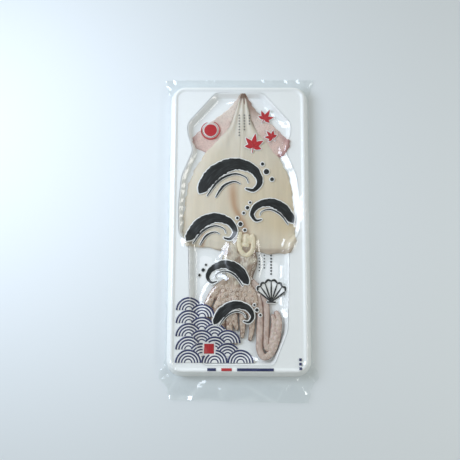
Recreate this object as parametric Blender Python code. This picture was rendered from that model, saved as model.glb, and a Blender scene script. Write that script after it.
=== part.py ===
"""Dried squid in a clear sealed bag.

A squid is slit open, laid flat in a squid-shaped white tray and sealed in a clear
bag, with the air drawn out. The film clings to the tray and to the squid, so the
pack is one solid that shows both: the tray's rim and recess, the opened mantle with
the fins behind it, the head, eight arms and two tentacles. A film skirt hangs round
the tray's edge, and a flap of film runs out at each end.

Metres, +Z up. The pack lies on the plane Z = 0 with the mantle's tip towards +Y. The
origin is on that plane, midway between the flaps' ends and the bag's sides.
"""

import math

import bmesh
import bpy
from mathutils import Vector

# Bag
BAG_WIDTH = 0.184
BAG_LENGTH = 0.390
BOTTOM_FLAP_END_WIDTH = 0.160
BOTTOM_FLAP_SKEW = 0.003
FLAP_THICKNESS = 0.0010
FLAP_ROOT_HEIGHT = 0.0050
FLAP_END_HEIGHT = 0.0018
FLAP_WAVE = 0.0004
SIDE_FLARE = 0.0045
END_FLARE = 0.0075
SKIRT_RIPPLE = 0.0008

# Tray
TRAY_WIDTH = 0.162
TRAY_LENGTH = 0.342
TRAY_CORNER = 0.015
TRAY_OFFSET = 0.0105
DECK_HEIGHT = 0.0125
RIM_HEIGHT = 0.0145
RIM_BREADTH = 0.006
CREST_BREADTH = 0.002

# The right half of the tray's recess, as corners (x, y) from the tray's middle
RECESS_CORNERS = (
    (0.0290, 0.1645),
    (0.0630, 0.1250),
    (0.0628, 0.1130),
    (0.0560, 0.0925),
    (0.0695, 0.0600),
    (0.0728, 0.0230),
    (0.0715, -0.0110),
    (0.0600, -0.0220),
    (0.0570, -0.1240),
    (0.0410, -0.1635),
)
RECESS_ROUNDING = 0.010
RECESS_FLOOR = 0.0030
WALL_RUN = 0.0050

# Squid
TIP_Y = 0.1740
# The tip leans on the recess's top wall: where it starts to climb, and how high it gets
CLIMB_START_Y = 0.1690
TIP_CLIMB = 0.0076
MANTLE_LENGTH = 0.1930
MANTLE_WIDTH = 0.1330
MANTLE_THICKNESS = 0.0050
MANTLE_EDGE = 0.0012
HEM_SLANT = 0.0045
TIP_LEAN = 0.0045
FIN_SPAN = 0.1170
FIN_LENGTH = 0.0770
FIN_THICKNESS = 0.0030
FIN_EDGE = 0.0008
HEAD_X = 0.0010
NECK_Y = -0.0060
HEAD_WIDTH = 0.0420
HEAD_LENGTH = 0.0620
HEAD_THICKNESS = 0.0075
HEAD_EDGE = 0.0015
ARM_RADIUS = 0.0056
ARM_TIP_RADIUS = 0.0020
TENTACLE_RADIUS = 0.0039
CLUB_RADIUS = 0.0049
CLUB_START = 0.62
LIMB_FLATNESS = 0.72
# A limb's walls spread to this share of its radius at its underside, so none overhangs
WALL_SPREAD = 1.04

# Each piece of the squid reaches down to its own level inside the tray's floor
MANTLE_UNDERSIDE = 0.0012
FIN_UNDERSIDE = 0.0010
HEAD_UNDERSIDE = 0.0014
ARM_UNDERSIDE = 0.0016
TENTACLE_UNDERSIDE = 0.0025
UNDERSIDE_STEP = 0.0001

# Half the mantle's width, as a share of its widest, at shares of its length
MANTLE_PROFILE = (
    (0.00, 0.030),
    (0.03, 0.085),
    (0.08, 0.122),
    (0.13, 0.167),
    (0.195, 0.232),
    (0.26, 0.350),
    (0.33, 0.540),
    (0.45, 0.770),
    (0.58, 0.925),
    (0.75, 0.990),
    (0.93, 1.000),
    (1.00, 0.930),
)

# Half the fins' span, as a share of the whole, at shares of their length
FIN_PROFILE = (
    (0.00, 0.050),
    (0.08, 0.150),
    (0.19, 0.235),
    (0.29, 0.370),
    (0.55, 0.770),
    (0.72, 0.985),
    (0.82, 1.000),
    (0.92, 0.920),
    (1.00, 0.720),
)

# Each arm's route from the head
ARM_ROUTES = (
    (
        (-0.014, -0.056),
        (-0.027, -0.067),
        (-0.036, -0.083),
        (-0.039, -0.101),
        (-0.035, -0.117),
        (-0.027, -0.126),
    ),
    ((-0.012, -0.058), (-0.021, -0.076), (-0.028, -0.094), (-0.028, -0.112), (-0.021, -0.124)),
    ((-0.009, -0.060), (-0.016, -0.080), (-0.020, -0.099), (-0.0185, -0.116), (-0.012, -0.127)),
    ((-0.006, -0.060), (-0.009, -0.082), (-0.0115, -0.101), (-0.009, -0.118), (-0.002, -0.129)),
    ((-0.003, -0.060), (-0.005, -0.078), (-0.0055, -0.096), (-0.002, -0.113)),
    ((0.000, -0.061), (0.003, -0.082), (0.0045, -0.102), (0.0040, -0.122)),
    ((0.004, -0.060), (0.011, -0.078), (0.0145, -0.097), (0.0150, -0.113), (0.0125, -0.125)),
    ((0.007, -0.058), (0.0160, -0.070), (0.0190, -0.084), (0.0165, -0.098)),
)
# The arm, counted from 0 on the left, that lies over the others, and how high it rises
TOP_ARM = 4
TOP_ARM_LIFT = 0.0024

# Both tentacles run down beside the arms, turn back and end in clubs on the right
TENTACLE_ROUTES = (
    (
        (0.012, -0.056),
        (0.0205, -0.070),
        (0.0240, -0.086),
        (0.0245, -0.104),
        (0.0240, -0.122),
        (0.0240, -0.135),
        (0.0285, -0.1430),
        (0.0360, -0.1400),
        (0.0415, -0.1290),
        (0.0450, -0.1150),
        (0.0465, -0.1010),
        (0.0430, -0.0900),
    ),
    (
        (0.014, -0.055),
        (0.0265, -0.068),
        (0.0315, -0.082),
        (0.0320, -0.100),
        (0.0315, -0.118),
        (0.0315, -0.129),
        (0.0345, -0.1340),
        (0.0380, -0.1290),
        (0.0405, -0.1160),
        (0.0410, -0.1030),
        (0.0390, -0.0940),
    ),
)
TENTACLE_LIFT = 0.0008

# Fineness of the mesh
CORNER_STEPS = 6
SIDE_STEPS = 14
END_STEPS = 8
ROUNDING_STEPS = 3
LIMB_SIDES = 5
LIMB_STEP = 0.006


def material(name, colour, roughness):
    """A Principled material."""
    made = bpy.data.materials.new(name)
    made.use_nodes = True
    shader = made.node_tree.nodes["Principled BSDF"]
    shader.inputs["Base Color"].default_value = (*colour, 1.0)
    shader.inputs["Roughness"].default_value = roughness
    shader.inputs["Metallic"].default_value = 0.0
    return made


def add_object(name, mesh_data, collection):
    """An object for the bmesh, with its faces pointing out."""
    bmesh.ops.recalc_face_normals(mesh_data, faces=mesh_data.faces)
    mesh = bpy.data.meshes.new(name)
    mesh_data.to_mesh(mesh)
    mesh_data.free()
    obj = bpy.data.objects.new(name, mesh)
    collection.objects.link(obj)
    return obj


def smooth_through(points, share):
    """The value at share of a smooth curve through points, each (share, value)."""
    for index in range(len(points) - 1):
        if share <= points[index + 1][0]:
            break
    (x0, y0), (x1, y1) = points[index], points[index + 1]
    before = points[max(index - 1, 0)]
    after = points[min(index + 2, len(points) - 1)]
    slope0 = (y1 - before[1]) / (x1 - before[0])
    slope1 = (after[1] - y0) / (after[0] - x0)
    step = x1 - x0
    t = min(max((share - x0) / step, 0.0), 1.0)
    return (
        (2 * t**3 - 3 * t**2 + 1) * y0
        + (t**3 - 2 * t**2 + t) * step * slope0
        + (3 * t**2 - 2 * t**3) * y1
        + (t**3 - t**2) * step * slope1
    )


def smooth_route(points, step):
    """Points at about step apart on a smooth curve through points."""
    route = []
    for index in range(len(points) - 1):
        p0 = points[max(index - 1, 0)]
        p1, p2 = points[index], points[index + 1]
        p3 = points[min(index + 2, len(points) - 1)]
        count = max(2, round((p2 - p1).length / step))
        for n in range(count):
            t = n / count
            route.append(
                0.5
                * (
                    2 * p1
                    + (p2 - p0) * t
                    + (2 * p0 - 5 * p1 + 4 * p2 - p3) * t**2
                    + (3 * p1 - p0 - 3 * p2 + p3) * t**3
                )
            )
    return [*route, points[-1]]


def rounded_corners(points, reach):
    """The closed outline through points, with each corner cut back by up to reach."""
    outline = []
    for index, corner in enumerate(points):
        before = points[index - 1] - corner
        after = points[(index + 1) % len(points)] - corner
        cut = min(reach, 0.45 * before.length, 0.45 * after.length)
        start = corner + before.normalized() * cut
        end = corner + after.normalized() * cut
        for n in range(ROUNDING_STEPS + 1):
            t = n / ROUNDING_STEPS
            outline.append(start * (1 - t) ** 2 + corner * 2 * t * (1 - t) + end * t**2)
    return outline


def loft(name, rings, collection):
    """A solid through rings of points, made by extruding the end face from each to the next."""
    mesh_data = bmesh.new()
    cap = mesh_data.faces.new([mesh_data.verts.new(place) for place in rings[0]])
    for ring in rings[1:]:
        cap = bmesh.ops.extrude_discrete_faces(mesh_data, faces=[cap])["faces"][0]
        for vertex, place in zip(cap.verts, ring):
            vertex.co = place
    border = [edge for edge in mesh_data.edges if edge.is_boundary]
    bmesh.ops.contextual_create(mesh_data, geom=border)
    return add_object(name, mesh_data, collection)


def slab(name, columns, rows, surface, underside, collection):
    """A solid under surface(u, v), with u and v from -1 to 1, down to underside(point)."""
    mesh_data = bmesh.new()
    bmesh.ops.create_grid(mesh_data, x_segments=columns, y_segments=rows, size=1.0)
    for vertex in mesh_data.verts:
        vertex.co = surface(vertex.co.x, vertex.co.y)
    made = bmesh.ops.extrude_face_region(mesh_data, geom=mesh_data.faces[:])["geom"]
    for vertex in made:
        if isinstance(vertex, bmesh.types.BMVert):
            vertex.co.z = underside(vertex.co)
    return add_object(name, mesh_data, collection)


def tray_outline(side_inset, end_inset, height, ripple):
    """The tray's rounded outline, drawn in by the insets, with straight sides that ripple."""
    half_x = TRAY_WIDTH / 2 - side_inset
    half_y = TRAY_LENGTH / 2 - end_inset
    radius = TRAY_CORNER - side_inset
    points = []
    for quarter in range(4):
        turn = quarter * math.pi / 2
        centre = Vector((half_x - radius, half_y - radius, height))
        centre.x *= 1 if quarter in (0, 3) else -1
        centre.y *= 1 if quarter in (0, 1) else -1
        for n in range(CORNER_STEPS + 1):
            angle = turn + n / CORNER_STEPS * math.pi / 2
            points.append(centre + radius * Vector((math.cos(angle), math.sin(angle), 0)))
        along_end = quarter in (0, 2)
        steps = END_STEPS if along_end else SIDE_STEPS
        run = 2 * ((half_x if along_end else half_y) - radius)
        out = Vector((-math.sin(turn), math.cos(turn), 0))
        way = Vector((-out.y, out.x, 0))
        start = points[-1].copy()
        for n in range(1, steps):
            share = n / steps
            wave = math.sin(share * math.pi) * (0.5 + 0.5 * math.sin(11 * share + 2 * quarter))
            points.append(start + way * run * share + out * ripple * wave)
    for point in points:
        point.y += TRAY_OFFSET
    return points


def tray_body(collection):
    """The tray as the film shows it: skirt, rolled rim and deck, still without its recess."""
    slope = RIM_BREADTH - CREST_BREADTH
    rings = [
        tray_outline(-0.8 * SIDE_FLARE, -0.9 * END_FLARE, 0, SKIRT_RIPPLE),
        tray_outline(-SIDE_FLARE, -END_FLARE, 0.13 * RIM_HEIGHT, SKIRT_RIPPLE),
        tray_outline(-0.6 * SIDE_FLARE, -0.4 * END_FLARE, 0.50 * RIM_HEIGHT, SKIRT_RIPPLE),
        tray_outline(0, 0, 0.80 * RIM_HEIGHT, 0),
        tray_outline(0.3 * slope, 0.3 * slope, 0.97 * RIM_HEIGHT, 0),
        tray_outline(0.6 * slope, 0.6 * slope, RIM_HEIGHT, 0),
        tray_outline(0.6 * slope + CREST_BREADTH, 0.6 * slope + CREST_BREADTH, RIM_HEIGHT, 0),
        tray_outline(RIM_BREADTH, RIM_BREADTH, DECK_HEIGHT, 0),
    ]
    return loft("tray_body", rings, collection)


def recess_cutter(collection):
    """The recess: its outline at the deck, walls that slope in, and the floor."""
    right = [Vector((x, y + TRAY_OFFSET, DECK_HEIGHT)) for x, y in RECESS_CORNERS]
    left = [Vector((-point.x, point.y, point.z)) for point in reversed(right)]
    outline = rounded_corners(right + left, RECESS_ROUNDING)
    mesh_data = bmesh.new()
    face = mesh_data.faces.new([mesh_data.verts.new(place) for place in outline])
    face.normal_update()
    if face.normal.z < 0:
        face.normal_flip()
    bmesh.ops.inset_region(
        mesh_data,
        faces=[face],
        thickness=WALL_RUN,
        depth=RECESS_FLOOR - DECK_HEIGHT,
        use_boundary=True,
        use_even_offset=True,
    )
    border = [edge for edge in mesh_data.edges if edge.is_boundary]
    made = bmesh.ops.extrude_edge_only(mesh_data, edges=border)["geom"]
    upper = [item for item in made if isinstance(item, bmesh.types.BMVert)]
    bmesh.ops.translate(mesh_data, verts=upper, vec=(0, 0, RIM_HEIGHT - DECK_HEIGHT))
    border = [edge for edge in mesh_data.edges if edge.is_boundary]
    bmesh.ops.contextual_create(mesh_data, geom=border)
    cutter = add_object("recess_cutter", mesh_data, collection)
    cutter.hide_render = True
    cutter.display_type = "WIRE"
    return cutter


def climb(y):
    """How far the squid's tip rises up the recess's top wall."""
    return TIP_CLIMB * max(0.0, (y - CLIMB_START_Y) / (TIP_Y - CLIMB_START_Y))


def mantle(collection):
    """The opened mantle, inner side up, with a low crown, rounded edges and a slanting hem."""

    def surface(u, v):
        share = (1 - v) / 2
        half = MANTLE_WIDTH / 2 * smooth_through(MANTLE_PROFILE, share)
        x = TIP_LEAN * (1 - share) ** 2 + half * u
        y = TIP_Y - MANTLE_LENGTH * share - HEM_SLANT * u * share**6
        side_fall = (1 - abs(u) ** 5) ** 0.5
        end_fall = min(1.0, 0.35 + 6 * share, 0.45 + 9 * (1 - share))
        fold = 0.12 * math.cos(3 * math.pi * u) * (1 - share)
        crown = MANTLE_THICKNESS - MANTLE_EDGE
        height = MANTLE_EDGE + crown * side_fall * (end_fall + fold) + climb(y)
        return Vector((x, y, RECESS_FLOOR + height))

    return slab("mantle", 16, 30, surface, lambda place: MANTLE_UNDERSIDE, collection)


def fins(collection):
    """The two fins, spread on both sides behind the mantle's pointed end."""

    def surface(u, v):
        share = (1 - v) / 2
        half = FIN_SPAN / 2 * smooth_through(FIN_PROFILE, share)
        x = TIP_LEAN * (1 - 0.4 * share) ** 2 + half * u
        y = TIP_Y - FIN_LENGTH * share - HEM_SLANT * u * share
        side_fall = (1 - abs(u) ** 6) ** 0.5
        height = FIN_EDGE + (FIN_THICKNESS - FIN_EDGE) * side_fall + climb(y)
        return Vector((x, y, RECESS_FLOOR + height))

    return slab("fins", 14, 20, surface, lambda place: FIN_UNDERSIDE, collection)


def head(collection):
    """The head between mantle and arms, split and spread, with an eye bulge on each side."""

    def surface(u, v):
        share = (1 - v) / 2
        waist = 0.72 + 0.28 * math.sin(math.pi * min(1.0, share * 1.25)) ** 2
        x = HEAD_X + HEAD_WIDTH / 2 * waist * u
        y = NECK_Y - HEAD_LENGTH * share
        side_fall = (1 - abs(u) ** 4) ** 0.5
        end_fall = min(1.0, 0.4 + 5 * share)
        eyes = 0.25 * math.exp(-(((abs(u) - 0.6) / 0.25) ** 2) - ((share - 0.55) / 0.18) ** 2)
        groove = 0.2 * math.exp(-((u / 0.18) ** 2))
        crown = HEAD_THICKNESS - HEAD_EDGE
        height = HEAD_EDGE + crown * side_fall * (end_fall + eyes - groove)
        return Vector((x, y, RECESS_FLOOR + height))

    return slab("head", 12, 16, surface, lambda place: HEAD_UNDERSIDE, collection)


def arm_radius(share):
    """An arm tapers from the head to its tip."""
    return ARM_RADIUS + (ARM_TIP_RADIUS - ARM_RADIUS) * share**2.4


def tentacle_radius(share):
    """A tentacle is even, swells into a club and tapers at the club's tip."""
    club = max(0.0, (share - CLUB_START) / (1 - CLUB_START))
    swell = math.sin(math.pi * min(1.0, 1.5 * club) / 2) * (1 - club**2)
    return TENTACLE_RADIUS * (1 - 0.4 * club**4) + (CLUB_RADIUS - TENTACLE_RADIUS) * swell


def limb(name, route, radius_at, lift, underside, collection):
    """A limb along a route: rings of its flattened upper half, on walls down to underside."""
    points = smooth_route([Vector((x, y, 0)) for x, y in route], LIMB_STEP)
    sink = 0.3 * LIMB_FLATNESS * radius_at(0)
    rings = []
    for index, point in enumerate(points):
        share = index / (len(points) - 1)
        ahead = points[min(index + 1, len(points) - 1)] - points[max(index - 1, 0)]
        side = Vector((-ahead.y, ahead.x, 0)).normalized()
        radius = radius_at(share)
        if index == len(points) - 1:
            radius *= 0.45
        rise = radius * LIMB_FLATNESS - sink * (1 - share) + lift * math.sin(math.pi * share)
        middle = RECESS_FLOOR + rise
        crown = radius * LIMB_FLATNESS
        angles = [math.pi * n / LIMB_SIDES for n in range(LIMB_SIDES + 1)]
        arch = [(math.cos(angle), middle + crown * math.sin(angle)) for angle in angles]
        section = [(WALL_SPREAD, underside), *arch, (-WALL_SPREAD, underside)]
        rings.append([point + side * radius * across + Vector((0, 0, z)) for across, z in section])
    return loft(name, rings, collection)


def flap(name, side, end_width, skew, collection):
    """The film beyond one end of the tray: both sheets pressed together, in low waves."""
    inner_y = TRAY_OFFSET + side * (TRAY_LENGTH / 2 - CREST_BREADTH)
    outer_y = side * BAG_LENGTH / 2

    def surface(u, v):
        share = (1 + side * v) / 2
        half = (BAG_WIDTH + (end_width - BAG_WIDTH) * share**1.5) / 2
        edge_y = outer_y - side * skew * (0.5 - 0.5 * math.sin(math.pi / 2 * u))
        y = inner_y + (edge_y - inner_y) * share
        wave = math.sin(7.0 * u + 1.7 * share) + 0.6 * math.sin(17.0 * u - 2.3 * share)
        fall = FLAP_END_HEIGHT + (FLAP_ROOT_HEIGHT - FLAP_END_HEIGHT) * (1 - share) ** 2
        return Vector((half * u, y, fall + FLAP_WAVE * wave * share))

    return slab(name, 36, 8, surface, lambda place: place.z - FLAP_THICKNESS, collection)


def boolean(target, operation, name, **operand):
    """Applies a Boolean modifier to target."""
    modifier = target.modifiers.new(name, "BOOLEAN")
    modifier.operation = operation
    modifier.solver = "EXACT"
    for setting, value in operand.items():
        setattr(modifier, setting, value)
    graph = bpy.context.evaluated_depsgraph_get()
    mesh = bpy.data.meshes.new_from_object(target.evaluated_get(graph))
    target.modifiers.remove(modifier)
    target.data = mesh


def build():
    """Clears the scene and makes the pack."""
    for obj in list(bpy.data.objects):
        bpy.data.objects.remove(obj)
    scene = bpy.context.scene.collection
    shapes = bpy.data.collections.new("shapes_under_the_film")
    scene.children.link(shapes)

    bag = tray_body(scene)
    bag.name = "bag"
    cutter = recess_cutter(scene)
    boolean(bag, "DIFFERENCE", "recess", object=cutter)

    mantle(shapes)
    fins(shapes)
    head(shapes)
    for index, route in enumerate(ARM_ROUTES):
        lift = TOP_ARM_LIFT if index == TOP_ARM else 0
        underside = ARM_UNDERSIDE + index * UNDERSIDE_STEP
        limb(f"arm_{index + 1}", route, arm_radius, lift, underside, shapes)
    for index, route in enumerate(TENTACLE_ROUTES):
        underside = TENTACLE_UNDERSIDE + index * UNDERSIDE_STEP
        limb(f"tentacle_{index + 1}", route, tentacle_radius, TENTACLE_LIFT, underside, shapes)
    flap("flap_top", 1, BAG_WIDTH, 0, shapes)
    flap("flap_bottom", -1, BOTTOM_FLAP_END_WIDTH, BOTTOM_FLAP_SKEW, shapes)
    boolean(bag, "UNION", "contents", operand_type="COLLECTION", collection=shapes)

    for obj in [cutter, *shapes.objects]:
        bpy.data.objects.remove(obj)
    bpy.data.collections.remove(shapes)

    bag.data.materials.clear()
    bag.data.materials.append(material("clear_film", (0.80, 0.80, 0.77), 0.2))
    bag.data.shade_smooth()
    bag.data.set_sharp_from_angle(angle=math.radians(35))


build()
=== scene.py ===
"""Dried squid in a clear sealed bag: the looks of the pack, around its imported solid.

A whole squid is slit open and lies in a white moulded tray, inside a printed bag of clear
film. The pack lies on Z = 0 with the mantle's tip towards +Y. All lengths are metres.
"""

import math

import bmesh
import bpy
import numpy as np
from mathutils import Matrix, Vector, noise
from mathutils.bvhtree import BVHTree


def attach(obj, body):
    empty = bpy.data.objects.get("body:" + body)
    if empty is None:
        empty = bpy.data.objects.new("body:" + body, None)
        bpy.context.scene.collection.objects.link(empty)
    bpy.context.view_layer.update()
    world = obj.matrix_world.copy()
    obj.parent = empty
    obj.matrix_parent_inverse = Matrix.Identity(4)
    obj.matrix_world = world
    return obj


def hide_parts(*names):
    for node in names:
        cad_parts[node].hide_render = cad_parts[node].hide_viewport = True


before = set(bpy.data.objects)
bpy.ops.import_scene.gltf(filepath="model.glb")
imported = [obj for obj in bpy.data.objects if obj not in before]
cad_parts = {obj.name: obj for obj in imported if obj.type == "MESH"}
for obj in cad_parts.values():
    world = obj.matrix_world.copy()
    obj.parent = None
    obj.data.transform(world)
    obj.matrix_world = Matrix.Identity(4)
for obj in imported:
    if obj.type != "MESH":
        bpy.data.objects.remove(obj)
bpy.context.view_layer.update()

# Tray
# One sheet of white polystyrene, 0.4 mm thick, drawn hot over a mould. It has a flared outer
# wall that stands on the table, a rolled rim, a flat deck and a recess in a squid's shape.
TRAY_WIDTH = 0.1684
TRAY_LENGTH = 0.3515
TRAY_MIDDLE_Y = 0.0102
TRAY_CORNER = 0.0187
TRAY_FOOT_HEIGHT = 0.0004
TRAY_SHEET = 0.0004
TRAY_FLARE = 0.0036
# From the foot over the rim to the deck, and from the deck to the floor: how far in and up
RIM_STEPS = (
    (0.0006, 0.0004),
    (TRAY_FLARE, 0.0110),
    (0.0006, 0.0014),
    (0.0010, 0.0006),
    (0.0014, 0.0001),
    (0.0010, -0.0005),
    (0.0008, -0.0010),
    (0.0010, -0.0003),
    (0.0004, 0.0000),
)
RECESS_STEPS = (
    (0.0004, 0.0000),
    (0.0005, -0.0004),
    (0.0005, -0.0012),
    (0.0024, -0.0066),
    (0.0006, -0.0009),
    (0.0009, -0.0003),
    (0.0004, 0.0000),
)
# The recess's right half, as corners from the tray's middle
RECESS_CORNERS = (
    (0.0290, 0.1651),
    (0.0630, 0.1260),
    (0.0628, 0.1130),
    (0.0560, 0.0925),
    (0.0695, 0.0600),
    (0.0728, 0.0230),
    (0.0715, -0.0110),
    (0.0600, -0.0220),
    (0.0570, -0.1240),
    (0.0410, -0.1635),
)
RECESS_CORNER = 0.005


def linear(hex_colour):
    """The linear colour of an sRGB hex value."""
    parts = [int(hex_colour[start : start + 2], 16) / 255 for start in (0, 2, 4)]
    parts = [part / 12.92 if part <= 0.04045 else ((part + 0.055) / 1.055) ** 2.4 for part in parts]
    return Vector((*parts, 1.0))


def set_inputs(tree, node, inputs):
    """Gives each input named its value, or a link where that is another node's output."""
    for name, value in inputs.items():
        if isinstance(value, bpy.types.NodeSocket):
            tree.links.new(value, node.inputs[name])
        else:
            node.inputs[name].default_value = value


def add_node(tree, kind, inputs=None, **settings):
    """A node with its settings and its inputs' values and links."""
    node = tree.nodes.new(kind)
    for name, value in settings.items():
        setattr(node, name, value)
    set_inputs(tree, node, inputs or {})
    return node


def new_finish(name, inputs):
    """A material with values on its main shader, then its node tree and that shader."""
    finish = bpy.data.materials.new(name)
    finish.use_nodes = True
    tree = finish.node_tree
    shader = tree.nodes["Principled BSDF"]
    set_inputs(tree, shader, inputs)
    return finish, tree, shader


def add_piece(name, mesh_data, finish, sharp_above=80):
    """An object for a finished bmesh, smooth but for edges sharper than an angle in degrees."""
    mesh = bpy.data.meshes.new(name)
    mesh_data.to_mesh(mesh)
    mesh_data.free()
    mesh.materials.append(finish)
    mesh.shade_smooth()
    mesh.set_sharp_from_angle(angle=math.radians(sharp_above))
    piece = bpy.data.objects.new(name, mesh)
    bpy.context.scene.collection.objects.link(piece)
    return piece


def inset_steps(mesh_data, face, steps):
    """Draws a face in step by step, each so far in and so far up, and returns it."""
    for inward, upward in steps:
        bmesh.ops.inset_region(
            mesh_data,
            faces=[face],
            thickness=inward,
            depth=upward,
            use_boundary=True,
            use_even_offset=True,
        )
    return face


def round_corners(mesh_data, corners, radius, segments):
    """Bevels the corners of a flat face."""
    bmesh.ops.bevel(
        mesh_data,
        geom=corners,
        offset=radius,
        offset_type="OFFSET",
        affect="VERTICES",
        segments=segments,
        profile=0.5,
        material=-1,
    )


tray_mesh = bmesh.new()
bmesh.ops.create_grid(tray_mesh, x_segments=1, y_segments=1, size=0.5)
bmesh.ops.scale(tray_mesh, verts=tray_mesh.verts, vec=(TRAY_WIDTH, TRAY_LENGTH, 1))
bmesh.ops.translate(tray_mesh, verts=tray_mesh.verts, vec=(0, TRAY_MIDDLE_Y, TRAY_FOOT_HEIGHT))
round_corners(tray_mesh, tray_mesh.verts[:], TRAY_CORNER, segments=10)
deck_face = inset_steps(tray_mesh, tray_mesh.faces[:][0], RIM_STEPS)
deck_height = deck_face.verts[0].co.z
deck_edges = deck_face.edges[:]
bmesh.ops.delete(tray_mesh, geom=[deck_face], context="FACES_ONLY")

right_half = [Vector((x, y + TRAY_MIDDLE_Y, deck_height)) for x, y in RECESS_CORNERS]
left_half = [Vector((-corner.x, corner.y, corner.z)) for corner in reversed(right_half)]
recess_corners = [tray_mesh.verts.new(place) for place in reversed(right_half + left_half)]
recess_face = tray_mesh.faces.new(recess_corners)
recess_face.normal_update()
if recess_face.normal.z < 0:
    recess_face.normal_flip()
round_corners(tray_mesh, recess_corners, RECESS_CORNER, segments=4)
recess_face = max(tray_mesh.faces, key=lambda face: len(face.verts))
recess_edges = recess_face.edges[:]
inset_steps(tray_mesh, recess_face, RECESS_STEPS)
bmesh.ops.triangle_fill(tray_mesh, edges=deck_edges + recess_edges, normal=(0, 0, 1))
bmesh.ops.recalc_face_normals(tray_mesh, faces=tray_mesh.faces)

# Thermoformed polystyrene: white, with a satin skin that is a little uneven from the mould
polystyrene, tree, shader = new_finish(
    "thermoformed_polystyrene", {"Base Color": linear("F6F8F8"), "Roughness": 0.38, "IOR": 1.55}
)
place = add_node(tree, "ShaderNodeTexCoord")
# Unevenness about 12 mm across
ripple = add_node(
    tree, "ShaderNodeTexNoise", {"Vector": place.outputs["Object"], "Scale": 80, "Detail": 3.0}
)
relief = add_node(
    tree, "ShaderNodeBump", {"Height": ripple.outputs["Fac"], "Strength": 0.25, "Distance": 0.0006}
)
set_inputs(tree, shader, {"Normal": relief.outputs["Normal"]})

tray = add_piece("tray", tray_mesh, polystyrene, sharp_above=75)
thickness = tray.modifiers.new("sheet_thickness", "SOLIDIFY")
thickness.thickness = TRAY_SHEET
thickness.offset = -1
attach(tray, "root")

# Mantle
# The squid's body, slit open, gutted, laid flat with its inner side up, salted and dried for
# a night. The flesh is cream and half clear, with a warm trace where the gut lay, and thin
# brown skin that shows along the edges of the tip.
RECESS_FLOOR = 0.0031
# How far flesh stays off the tray's floor and wall, and the height that falls onto it start at
CLEAR_OF_FLOOR = 0.0001
CLEAR_OF_WALL = 0.0003
FALL_FROM = 0.05
TIP_Y = 0.174
MANTLE_LENGTH = 0.193
MANTLE_WIDTH = 0.133
MANTLE_THICKNESS = 0.005
MANTLE_EDGE = 0.0011
HEM_SLANT = 0.0045
TIP_LEAN = 0.0045
# Half the width, as a share of the widest, at shares of the length
MANTLE_PROFILE = (
    (0.00, 0.030),
    (0.03, 0.085),
    (0.08, 0.122),
    (0.13, 0.167),
    (0.195, 0.232),
    (0.26, 0.350),
    (0.33, 0.540),
    (0.45, 0.770),
    (0.58, 0.925),
    (0.75, 0.990),
    (0.93, 1.000),
    (1.00, 0.930),
)
FLESH = linear("DCD2C0")
FLESH_NEAR_TIP = linear("DED8CD")
FLESH_YELLOW = linear("D7C6A7")
GUT_TRACE = linear("AC7647")
SKIN_BROWN = linear("7A5540")


def smooth_through(points, share):
    """The value at share of a smooth curve through points, each (share, value)."""
    for index in range(len(points) - 1):
        if share <= points[index + 1][0]:
            break
    (x0, y0), (x1, y1) = points[index], points[index + 1]
    before = points[max(index - 1, 0)]
    after = points[min(index + 2, len(points) - 1)]
    slope0 = (y1 - before[1]) / (x1 - before[0])
    slope1 = (after[1] - y0) / (after[0] - x0)
    step = x1 - x0
    t = min(max((share - x0) / step, 0.0), 1.0)
    return (
        (2 * t**3 - 3 * t**2 + 1) * y0
        + (t**3 - 2 * t**2 + t) * step * slope0
        + (3 * t**2 - 2 * t**3) * y1
        + (t**3 - t**2) * step * slope1
    )


def fade(value, start, end):
    """From 0 at start to 1 at end, smoothly."""
    t = min(max((value - start) / (end - start), 0.0), 1.0)
    return t * t * (3 - 2 * t)


def bell(value, middle, reach):
    """A smooth bump: 1 at the middle, near 0 beyond twice the reach."""
    return math.exp(-(((value - middle) / reach) ** 2))


def unevenness(point, size):
    """Soft noise from -1 to 1 whose lumps are about size across."""
    return noise.noise(Vector(point) / size)


def surface_tree(pieces):
    """A tree of the pieces' surfaces, to find the height of what lies under a point."""
    together = bmesh.new()
    for piece in pieces:
        together.from_mesh(piece.data)
    tree = BVHTree.FromBMesh(together)
    together.free()
    return tree


def drop_onto(tree, x, y):
    """Where a fall from above meets a surface, and its normal there, as the first two of four."""
    return tree.ray_cast(Vector((x, y, FALL_FROM)), Vector((0, 0, -1)))


tray_tree = surface_tree([tray])


def tray_height(x, y):
    """The height of the tray's upper side."""
    return drop_onto(tray_tree, x, y)[0].z


def laid_on_tray(x, y, height):
    """A point of flesh above the recess's floor, or above the wall that it leans on."""
    return Vector((x, y, max(RECESS_FLOOR, tray_height(x, y) + CLEAR_OF_WALL) + height))


def lower_sheet(mesh_data):
    """Doubles a sheet into a closed piece, and returns the vertices of its new lower side."""
    made = bmesh.ops.extrude_face_region(mesh_data, geom=mesh_data.faces[:])["geom"]
    return [part for part in made if isinstance(part, bmesh.types.BMVert)]


def slab(surface, columns, rows):
    """A closed piece: its upper side is surface(u, v), its lower side lies on the tray."""
    mesh_data = bmesh.new()
    bmesh.ops.create_grid(mesh_data, x_segments=columns, y_segments=rows, size=1.0)
    for vertex in mesh_data.verts:
        vertex.co = surface(vertex.co.x, vertex.co.y)
    for vertex in lower_sheet(mesh_data):
        vertex.co.z = tray_height(vertex.co.x, vertex.co.y) + CLEAR_OF_FLOOR
    bmesh.ops.recalc_face_normals(mesh_data, faces=mesh_data.faces)
    return mesh_data


def paint(piece, colour_at):
    """Keeps colour_at(point, normal) for every point of the piece, as its attribute stain."""
    layer = piece.data.color_attributes.new("stain", "FLOAT_COLOR", "POINT")
    for vertex in piece.data.vertices:
        layer.data[vertex.index].color = colour_at(vertex.co, vertex.normal)


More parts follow.
